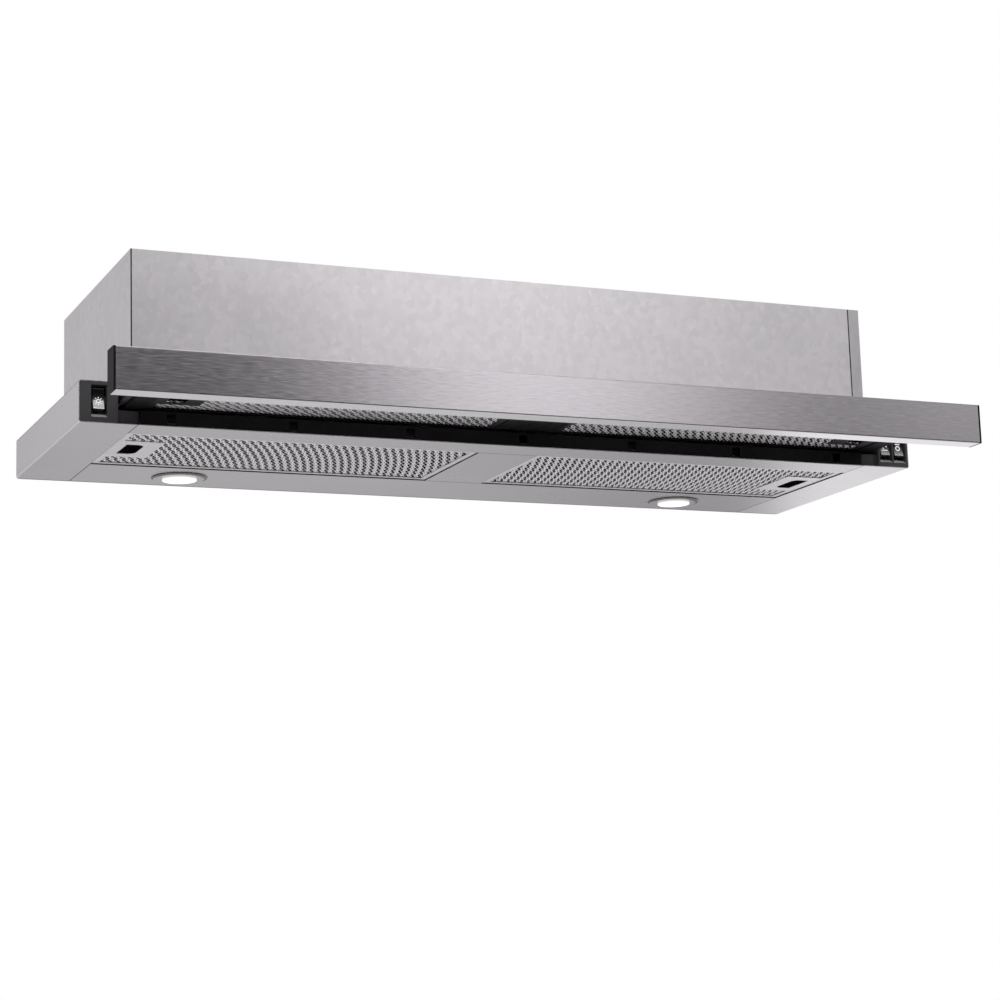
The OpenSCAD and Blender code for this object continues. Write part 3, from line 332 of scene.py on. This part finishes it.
def brushed_fascia():
    """Brushed steel: fine lines along the fascia, which spread its reflections up and down."""
    m, t = new_material("brushed_fascia")
    fine = t.noise(1.0, (75, 900, 900), detail=3, rough=0.6)
    broad = t.noise(1.0, (32, 620, 620), detail=2)
    lines = t.blend((fine, 0.85), (broad, 0.15))
    color = t.tint(lines, grey(0.48, 0.05), grey(0.68, 0.05))
    facing = t.facing()
    # Painted shade on the lower bend, and a painted highlight on the underside lip.
    color = t.mix(t.band(facing, -0.75, -0.12), color, grey(0.14))                  # lower bend
    color = t.mix(t.math("LESS_THAN", facing, -0.75), color, grey(0.84, 0.03))      # underside
    t.finish(t.principled(color, t.between(lines, 0.20, 0.26), Metallic=1.0, Anisotropic=0.6,
                          Tangent=t.vector(0.0, 0.0, 1.0),
                          Normal=t.bump(fine, 0.06, 0.0001)))
    return m


def plastic(name, low, high, rough, depth=0.15, coat=0.0, sheen=0.5, glow=0.0, painted_highlight=None):
    """Moulded plastic with a fine spark-eroded texture and slightly uneven gloss.

    Where the optional mask is 1, a painted highlight of bright, part-metallic grey is laid on.
    """
    m, t = new_material(name)
    cloud = t.noise(18, detail=3)
    color = t.tint(cloud, low, high)
    metal = 0.0
    if painted_highlight:
        mask = painted_highlight(t)
        color = t.mix(mask, color, grey(0.75))
        metal = t.math("MULTIPLY", mask, 0.7)
    t.finish(t.principled(color, t.between(cloud, rough - 0.04, rough + 0.05), Metallic=metal,
                          Normal=t.bump(t.noise(1400, detail=2), depth, 0.0001),
                          Specular_IOR_Level=sheen, Coat_Weight=coat, Coat_Roughness=0.12,
                          Emission_Color=grey(1), Emission_Strength=glow))
    return m


def aluminium(name, value, rough, stretch=(1, 1, 1), scale=120, metallic=0.9):
    """Rolled aluminium with streaks and small dull patches."""
    m, t = new_material(name)
    streak = t.noise(scale, stretch, detail=3)
    color = t.tint(streak, grey(value - 0.05, 0.04), grey(value + 0.04, 0.04))
    t.finish(t.principled(color, t.between(streak, rough - 0.05, rough + 0.06),
                          Metallic=metallic, Normal=t.bump(streak, 0.08)))
    return m


def key_finish():
    """Metallised keys, with a painted dark reflection in their upper half that fades to their
    bright metal toward the lower edge.
    """
    m, t = new_material("key_metallic")
    cloud = t.noise(30, detail=3)
    height = t.rise(t.position()["Z"], *KEY_BRIGHT_TO_DARK_Z, interpolation_type="SMOOTHSTEP")
    # Painted dark reflection: the upper half of each key turns nearly black.
    color = t.mix(height, t.tint(cloud, grey(0.60), grey(0.68)), grey(0.025))
    t.finish(t.principled(color, t.between(cloud, 0.20, 0.28), Metallic=0.95))
    return m


def zinc_plate():
    m, t = new_material("zinc_plate")
    cloud = t.noise(60, detail=4)
    color = t.tint(cloud, (0.52, 0.53, 0.56, 1), (0.66, 0.66, 0.66, 1))
    t.finish(t.principled(color, t.between(cloud, 0.28, 0.42), Metallic=1.0))
    return m


def glowing_lens():
    """Frosted lens over the lit lamp: white below, a little warmer and weaker round its rim."""
    m, t = new_material("glowing_lens")
    down = t.math("MULTIPLY", t.facing("Normal"), -1.0)
    glow = t.ramp(down, [(0.0, (0.50, 0.48, 0.44)), (0.45, (0.78, 0.76, 0.71)),
                         (0.85, (1.0, 0.99, 0.96))])
    t.finish(t.principled((0.30, 0.30, 0.28, 1), 0.35, Emission_Color=glow, Emission_Strength=1.1,
                          Normal=t.bump(t.noise(350, detail=2), 0.15)))
    return m


def paint(name, low, high, rough):
    m, t = new_material(name)
    cloud = t.noise(40, detail=4)
    t.finish(t.principled(t.tint(cloud, low, high), t.between(cloud, rough - 0.05, rough + 0.05),
                          Normal=t.bump(t.noise(600, detail=2), 0.1),
                          Coat_Weight=0.2, Coat_Roughness=0.2))
    return m


def make_finishes():
    """One finish for each material slot of the record, and five that only some pieces have."""
    return {
        "steel_body": galvanised("galvanised_sheet", 0.75, 0.87),
        "steel_bright": bright_sheet(),
        "steel_fascia": brushed_fascia(),
        "black_plastic": plastic("black_plastic", grey(0.005), grey(0.009), 0.5, sheen=0.10),
        "pod_plastic": plastic("pod_plastic", grey(0.040, 0.08), grey(0.050, 0.08), 0.36,
                               sheen=0.4, painted_highlight=scoop_highlight),
        "key_plastic": key_finish(),
        "gloss_dark": plastic("gloss_dark", grey(0.012), grey(0.018), 0.22, depth=0.03, coat=0.3),
        "lens": glowing_lens(),
        "board": paint("board", grey(0.78), grey(0.86), 0.45),
        "collar_plastic": plastic("collar_plastic", grey(0.020), grey(0.030), 0.45),
        "filter_alu": aluminium("filter_frame_alu", 0.80, 0.34, (1, 12, 12), 8),
        "mesh_alu": aluminium("mesh_alu", 0.90, 0.34, metallic=0.35),
        "zinc": zinc_plate(),
        "motor_paint": paint("motor_paint", grey(0.09), grey(0.13), 0.45),
        "wheel_plastic": plastic("wheel_plastic", grey(0.016), grey(0.024), 0.4),
        "cap_white": paint("cap_white", grey(0.70), grey(0.78), 0.35),

        # Painted shade: the side panels take a darker copy of the same galvanised sheet.
        "side_panel": galvanised("galvanised_side_shaded", 0.60, 0.70),
        # Painted shade: the visor's filter frames take a near-black finish instead of the casing
        # filters' aluminium.
        "visor_filter": plastic("visor_filter_shaded", grey(0.012), grey(0.02), 0.45, sheen=0.3),
        "visor_mesh": aluminium("visor_mesh_alu", 0.92, 0.34, metallic=0.3),
        # Painted shade: the inner and back mesh layers, aluminium like the outer one, are near
        # black, so the holes look dark.
        "inner_mesh": plastic("inner_mesh_in_shade", grey(0.010), grey(0.022), 0.8, sheen=0.05),
        # The symbols are white print; their weak glow is painted light that lifts them out of the
        # pockets' shade.
        "symbol": plastic("symbol_white", grey(0.84), grey(0.90), 0.4, depth=0.02, glow=0.35),
    }


# Nodes that don't look like the rest of their slot, by the start of their name: darker copies,
# which are painted shade.
OWN_FINISH = {"visor_filter_frame": "visor_filter", "side_panel": "side_panel"}


def dress_frame(finishes):
    """Every CAD node that stays takes the finish of its slot, or its own."""
    for part in frame["record"]["subparts"]:
        finish = part["material_slot"]
        for start, own in OWN_FINISH.items():
            if part["node"].startswith(start):
                finish = own
        for slot in NODES[part["node"]].material_slots:
            slot.material = finishes[finish]


# ---------------------------------------------------------------- new pieces

class Shape:
    """Vertices and faces gathered from many small parts."""

    def __init__(self):
        self.vertices = []
        self.faces = []

    def add(self, vertices, faces):
        start = len(self.vertices)
        self.vertices += vertices
        self.faces += [tuple(start + i for i in face) for face in faces]


def new_object(name, vertices, faces, material):
    mesh = bpy.data.meshes.new(name)
    mesh.from_pydata(vertices, [], faces)
    mesh.update()
    mesh.materials.append(material)
    made = bpy.data.objects.new(name, mesh)
    SCENE.collection.objects.link(made)
    return made


def add_piece(name, shape, material, body):
    piece = new_object(name, shape.vertices, shape.faces, material)
    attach(piece, body)
    return piece


# ---------------------------------------------------------------- grease filters
# Millimetres, in the drawing of the lower casing.

# side is -1 for the left and 1 for the right, x and y bound the mesh, plate is the latch's: where
# it starts, its middle y and half its width.
Filter = namedtuple("Filter", "prefix hand side x y underside body plate weave")
CASING = dict(prefix="", x=(33.7, 390.3), y=(40.4, 188.6), underside=1.6,
              plate=(345.0, 114.5, 37.0), weave="casing")
VISOR = dict(prefix="visor_", x=(33.7, 383.3), y=(-98.6, 10.6), underside=18.3,
             plate=(338.0, -44.0, 28.0), weave="visor")
FILTERS = (
    Filter(hand="left", side=-1, body="left_filter", **CASING),
    Filter(hand="right", side=1, body="right_filter", **CASING),
    Filter(hand="left", side=-1, body="visor", **VISOR),
    Filter(hand="right", side=1, body="visor", **VISOR),
)

# The mesh is stretched unevenly, so its columns lean and spread from one end of the hood to the
# other. A column follows a constant phase a*x + b*t + c*x*t + d*x*x + e*t*t, with t the distance
# behind the line y0.
WEAVES = {
    # a, b, c, d, e, y0
    "casing": (0.1235, -0.0378, 6.2e-5, 1.0e-5, 8.2e-5, 115.0),
    "visor": (0.1110, -0.0720, 7.3e-5, 1.3e-5, 8.0e-5, -20.0),
}
COLUMN = 1 / 4                      # phase between two columns of holes
ROW = 7.8                           # half the length of a hole and its strand
HOLES = (0.44, 1.0, 1.0, 0.44)      # size of the holes in the four columns of a band
ALONG_STRAND = 0.95                 # share of a cell that is open along its broad strands
ACROSS_STRAND = 0.84                # and across them
SHEET = 0.12                        # thickness of the outer mesh
MESH_LIFT = 0.25                    # of the outer mesh above the frame's underside
RIM_DEPTH = 0.12                    # how much deeper the rims of its holes lie
BACK_RISE = 6.2                     # from the outer mesh to the one at the filter's back
CRIMP_COLUMN = COLUMN / 2
CRIMP_ROW = 3.0
CRIMP_HOLE = 0.6                    # share of a cell of the crimped layer that is open
CRIMP_LIFT = 2.4                    # its lowest folds above the frame's underside
CRIMP_HEIGHT = 3.4
OUTER_LAP = 5.0                     # how far the outer mesh reaches under the latch plate
INNER_LAP = 0.0                     # the layers behind it end at the plate's edge
RING_OF_QUADS = [(k, (k + 1) % 4, 4 + (k + 1) % 4, 4 + k) for k in range(4)]


def phase_of(weave, x, y):
    a, b, c, d, e, y0 = WEAVES[weave]
    t = y - y0
    return a * x + b * t + c * x * t + d * x * x + e * t * t


def column_x(weave, phase, y):
    """Where the column of that phase crosses the depth y."""
    a, b, c, d, e, y0 = WEAVES[weave]
    t = y - y0
    half = (a + c * t) / 2
    return (math.sqrt(half * half - d * (b * t + e * t * t - phase)) - half) / d


def cells(f, column, row, plate_lap):
    """Middles of the staggered cells clear of the latch plate: column's number, phase and depth."""
    low, high = sorted((f.side * f.x[0], f.side * f.x[1]))
    corners = [phase_of(f.weave, x, y) for x in (low, high) for y in f.y]
    first, last = math.floor(min(corners) / column), math.ceil(max(corners) / column)
    plate_x, plate_y, plate_half = f.plate
    for j in range(1, int((f.y[1] - f.y[0]) / row)):
        y = f.y[0] + j * row
        beside_plate = abs(y - plate_y) >= plate_half - plate_lap
        for k in range(first, last + 1):
            if (j + k) % 2:
                continue
            phase = (k + 0.5) * column
            left = column_x(f.weave, (k - 0.5) * column, y)
            right = column_x(f.weave, (k + 1.5) * column, y)
            in_front = abs(column_x(f.weave, phase, y)) <= plate_x + plate_lap
            if left > low and right < high and (beside_plate or in_front):
                yield k, phase, y


def outer_mesh(f, rise=0.0, plate_lap=OUTER_LAP):
    """Expanded metal: the rims of its holes lie deeper than the crossings of its strands."""
    shape = Shape()
    for number, phase, y in cells(f, COLUMN, ROW, plate_lap):
        hole = HOLES[number % 4]
        points = []
        for long, wide, lift in ((1, 1, MESH_LIFT), (ALONG_STRAND * hole, ACROSS_STRAND * hole,
                                                     MESH_LIFT + RIM_DEPTH)):
            for p, q in ((-long, -wide), (-long, wide), (long, wide), (long, -wide)):
                v = y + (p - q) / 2 * ROW
                x = column_x(f.weave, phase + (p + q) / 2 * COLUMN, v)
                points.append(hood(x, v, f.underside + rise + lift))
        shape.add(points, RING_OF_QUADS)
    return shape


def crimped_mesh(f):
    """The inner layer: perforated sheet whose crimps run with the bands of the outer mesh."""
    shape = Shape()
    corners = ((-CRIMP_COLUMN, 0), (0, -CRIMP_ROW), (CRIMP_COLUMN, 0), (0, CRIMP_ROW))
    for _, phase, y in cells(f, CRIMP_COLUMN, CRIMP_ROW, INNER_LAP):
        points = []
        for scale in (1, CRIMP_HOLE):
            for across, along in corners:
                p = phase + across * scale
                v = y + along * scale
                wave = 0.5 - 0.5 * math.cos(2 * math.pi * p)
                z = f.underside + CRIMP_LIFT + CRIMP_HEIGHT * wave
                points.append(hood(column_x(f.weave, p, v), v, z))
        shape.add(points, RING_OF_QUADS)
    return shape


def make_filters(finishes):
    for f in FILTERS:
        mesh = add_piece(f"{f.prefix}mesh_outer_{f.hand}", outer_mesh(f),
                         finishes["visor_mesh" if f.prefix else "mesh_alu"], f.body)
        solid = mesh.modifiers.new("thickness", "SOLIDIFY")
        solid.thickness = SHEET * MM
        solid.offset = 0
        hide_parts(f"{f.prefix}filter_mesh_{f.hand}")
        inner = crimped_mesh(f)
        back = outer_mesh(f, BACK_RISE, INNER_LAP)
        inner.add(back.vertices, back.faces)
        # The layers behind the outer mesh take the near-black finish: painted shade seen through
        # its holes.
        layers = add_piece(f"{f.prefix}mesh_inner_{f.hand}", inner, finishes["inner_mesh"],
                           f.body)
        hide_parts("visor_filter_cores" if f.prefix else f"filter_core_{f.hand}")


# ---------------------------------------------------------------- symbols on the keys
# Millimetres, in the drawing of the lower casing.

KEY_TILT = math.radians(-8)
KEY_AXIS = (9.0, 22.5)      # depth and height of the keys' pins
FACE_R = 36.0               # of the keys' hollow faces
FACE_Y = -41.8              # depth of the middle of that circle, from the pin
PRINT_LIFT = 0.06           # of the symbols off the face


def key_point(x, across, height):
    """A point just off a key's hollow face, across and height from its middle."""
    y = FACE_Y + math.sqrt(FACE_R ** 2 - height ** 2) - PRINT_LIFT
    c, s = math.cos(KEY_TILT), math.sin(KEY_TILT)
    return hood(x + across, KEY_AXIS[0] + c * y - s * height, KEY_AXIS[1] + s * y + c * height)


def stroke(shape, x, line, width):
    """A line of constant width on the face of the key at x."""
    left, right = [], []
    for i, (px, pz) in enumerate(line):
        ax, az = line[max(i - 1, 0)]
        bx, bz = line[min(i + 1, len(line) - 1)]
        length = math.hypot(bx - ax, bz - az) or 1
        nx, nz = -(bz - az) / length * width / 2, (bx - ax) / length * width / 2
        left.append(key_point(x, px + nx, pz + nz))
        right.append(key_point(x, px - nx, pz - nz))
    n = len(line)
    shape.add(left + right, [(i, i + 1, n + i + 1, n + i) for i in range(n - 1)])


def polar(z, r, angle):
    """The point at that radius and angle (degrees) round the height z on the key's middle line."""
    return r * math.cos(math.radians(angle)), z + r * math.sin(math.radians(angle))


def round_line(z, r, steps=24):
    return [polar(z, r, 360 * i / steps) for i in range(steps + 1)]


def sun_symbol(x):
    """A ring with eight rays."""
    shape = Shape()
    z, width = -2.2, 0.7
    stroke(shape, x, round_line(z, 1.7), width)
    for k in range(8):
        stroke(shape, x, [polar(z, 2.7, 45 * k), polar(z, 4.1, 45 * k)], width)
    return shape


def fan_symbol(x):
    """Three bent blades over a line."""
    shape = Shape()
    z, width = 0.6, 0.9
    for a in (90, 210, 330):
        stroke(shape, x, [polar(z, 0.7, a), polar(z, 2.9, a + 5), polar(z, 3.7, a + 50)], width)
    stroke(shape, x, [(-3.6, -4.4), (3.6, -4.4)], width)
    return shape


def speed_symbol(x):
    """A ring under two lines."""
    shape = Shape()
    stroke(shape, x, round_line(-1.6, 2.3), 1.1)
    for z in (2.8, 5.0):
        stroke(shape, x, [(-2.9, z), (2.9, z)], 1.0)
    return shape


SYMBOLS = (
    # name, middle of its key, body, form
    ("light_symbol", -428.95, "light_switch", sun_symbol),
    ("fan_symbol", 420.65, "fan_switch", fan_symbol),
    ("speed_symbol", 437.25, "speed_switch", speed_symbol),
)


def make_symbols(finishes):
    for name, x, body, form in SYMBOLS:
        add_piece(name, form(x), finishes["symbol"], body)


# ---------------------------------------------------------------- room and light

FLOOR_Z = -1.02
FLOOR_R = 3.2
FLOOR_FADE = (2.3, 3.15)    # distance over which the floor turns into the white room


def circle(r, z, n):
    return [(r * math.cos(2 * math.pi * i / n), r * math.sin(2 * math.pi * i / n), z)
            for i in range(n)]


def make_floor():
    """A round pale floor well below the hood. It fades into the white room at its rim.

    The camera sees through it from below.
    """
    m, t = new_material("floor_pale")
    path = t.node("ShaderNodeLightPath").outputs
    rim = t.rise(t.length(t.coordinates()), *FLOOR_FADE)
    fade = t.both(rim, t.either(path["Is Camera Ray"], path["Is Glossy Ray"]))
    color = t.tint(t.noise(1.2, detail=2), grey(0.80), grey(0.83))
    above = t.mix_shaders(fade, t.principled(color, 0.8), t.emission(grey(1)))
    under = t.node("ShaderNodeNewGeometry").outputs["Backfacing"]
    clear = t.node("ShaderNodeBsdfTransparent").outputs[0]
    t.finish(t.mix_shaders(t.both(under, path["Is Camera Ray"]), above, clear))
    n = 96
    new_object("floor", circle(FLOOR_R, FLOOR_Z, n), [tuple(range(n))], m)


# Brightness of the studio's wall round the hood: degrees from the front (-Y) toward the right
# (+X), then the brightness of its low, middle and high band. Above these it is plain grey.
STUDIO = (
    (-180, 0.40, 0.50, 0.60),
    (-166, 0.40, 0.16, 0.16),
    (-160, 0.42, 0.50, 0.18),
    (-157, 0.52, 1.08, 0.25),
    (-140, 0.50, 0.55, 0.40),
    (-95, 0.50, 0.55, 0.55),
    (-45, 0.35, 0.62, 0.90),
    (-14, 0.08, 0.30, 1.20),
    (2, 0.05, 0.05, 1.30),
    (8, 0.05, 0.02, 1.40),
    (10.5, 0.05, 0.06, 1.50),
    (13, 0.05, 0.28, 1.90),
    (15.6, 0.06, 0.84, 2.50),
    (18, 0.06, 1.30, 2.70),
    (21, 0.06, 1.54, 2.50),
    (24.4, 0.06, 1.30, 1.60),
    (27.6, 0.06, 0.96, 0.60),
    (30.8, 0.06, 0.50, 0.15),
    (34, 0.06, 0.30, 0.05),
    (37, 0.06, 0.76, 0.04),
    (50, 0.10, 0.40, 0.08),
    (80, 0.50, 0.80, 0.80),
    (120, 0.80, 1.00, 1.00),
    (143.2, 1.05, 1.00, 1.00),
    (144.2, 0.22, 0.80, 1.00),
    (158, 0.44, 0.60, 0.90),
    (172, 0.50, 0.62, 0.85),
    (180, 0.40, 0.50, 0.60),
)
WALL_R = 3.0
WALL_TOP = 5.2
# Heights over which the wall goes from one band to the next.
LOW_TO_MIDDLE = (0.0, 0.30)
MIDDLE_TO_HIGH = (0.95, 1.35)
HIGH_TO_TOP = (1.9, 2.6)
TOP_GREY = 0.55


def make_wall():
    """A round wall of light and dark studio cards, which only reflections see."""
    m, t = new_material("studio_cards")
    place = t.position()
    angle = t.math("ARCTAN2", place["X"], t.math("MULTIPLY", place["Y"], -1.0))
    turn = t.rise(angle, -math.pi, math.pi)
    low, middle, high = (t.ramp(turn, [((row[0] + 180) / 360, (row[k],) * 3) for row in STUDIO])
                         for k in (1, 2, 3))
    card = low
    for upper, heights in ((middle, LOW_TO_MIDDLE), (high, MIDDLE_TO_HIGH),
                           (grey(TOP_GREY), HIGH_TO_TOP)):
        card = t.mix(t.rise(place["Z"], *heights), card, upper)
    t.finish(t.emission(card))
    n = 120
    ring = circle(WALL_R, FLOOR_Z, n) + circle(WALL_R, WALL_TOP, n)
    wall = new_object("studio_wall", ring,
                      [(i, (i + 1) % n, n + (i + 1) % n, n + i) for i in range(n)], m)
    wall.visible_camera = False
    wall.visible_diffuse = False
    wall.visible_transmission = False
    wall.visible_shadow = False


def make_world():
    """White to the camera and in reflections, and a plain soft light on everything."""
    world = bpy.data.worlds.new("studio")
    SCENE.world = world
    t = Tree(world)
    path = t.node("ShaderNodeLightPath").outputs
    seen = t.either(path["Is Camera Ray"], path["Is Glossy Ray"], path["Is Transmission Ray"])
    background = t.node("ShaderNodeBackground", {"Color": t.mix(seen, grey(0.68), grey(1)),
                        "Strength": 1.0}).outputs[0]
    t.node("ShaderNodeOutputWorld", {"Surface": background})


LAMP_SIZE = 2.0
LAMP_TARGET = (0, 0, -0.1)
LAMPS = (
    # name, place, watts
    ("softbox_front", (-0.5, -2.2, 2.8), 24),
    ("softbox_side", (-2.4, -0.9, 2.4), 5),
)


def make_lights():
    """Two soft lamps. The wall alone gives the metal its reflections."""
    for name, place, watts in LAMPS:
        data = bpy.data.lights.new(name, "AREA")
        data.size = LAMP_SIZE
        data.energy = watts
        lamp = bpy.data.objects.new(name, data)
        lamp.location = place
        aim = Vector(LAMP_TARGET) - Vector(place)
        lamp.rotation_euler = aim.to_track_quat("-Z", "Y").to_euler()
        lamp.visible_glossy = False
        SCENE.collection.objects.link(lamp)


# ---------------------------------------------------------------- build

make_camera()
FINISHES = make_finishes()
dress_frame(FINISHES)
make_filters(FINISHES)
make_symbols(FINISHES)
make_floor()
make_wall()
make_world()
make_lights()
SCENE.view_settings.view_transform = "Standard"
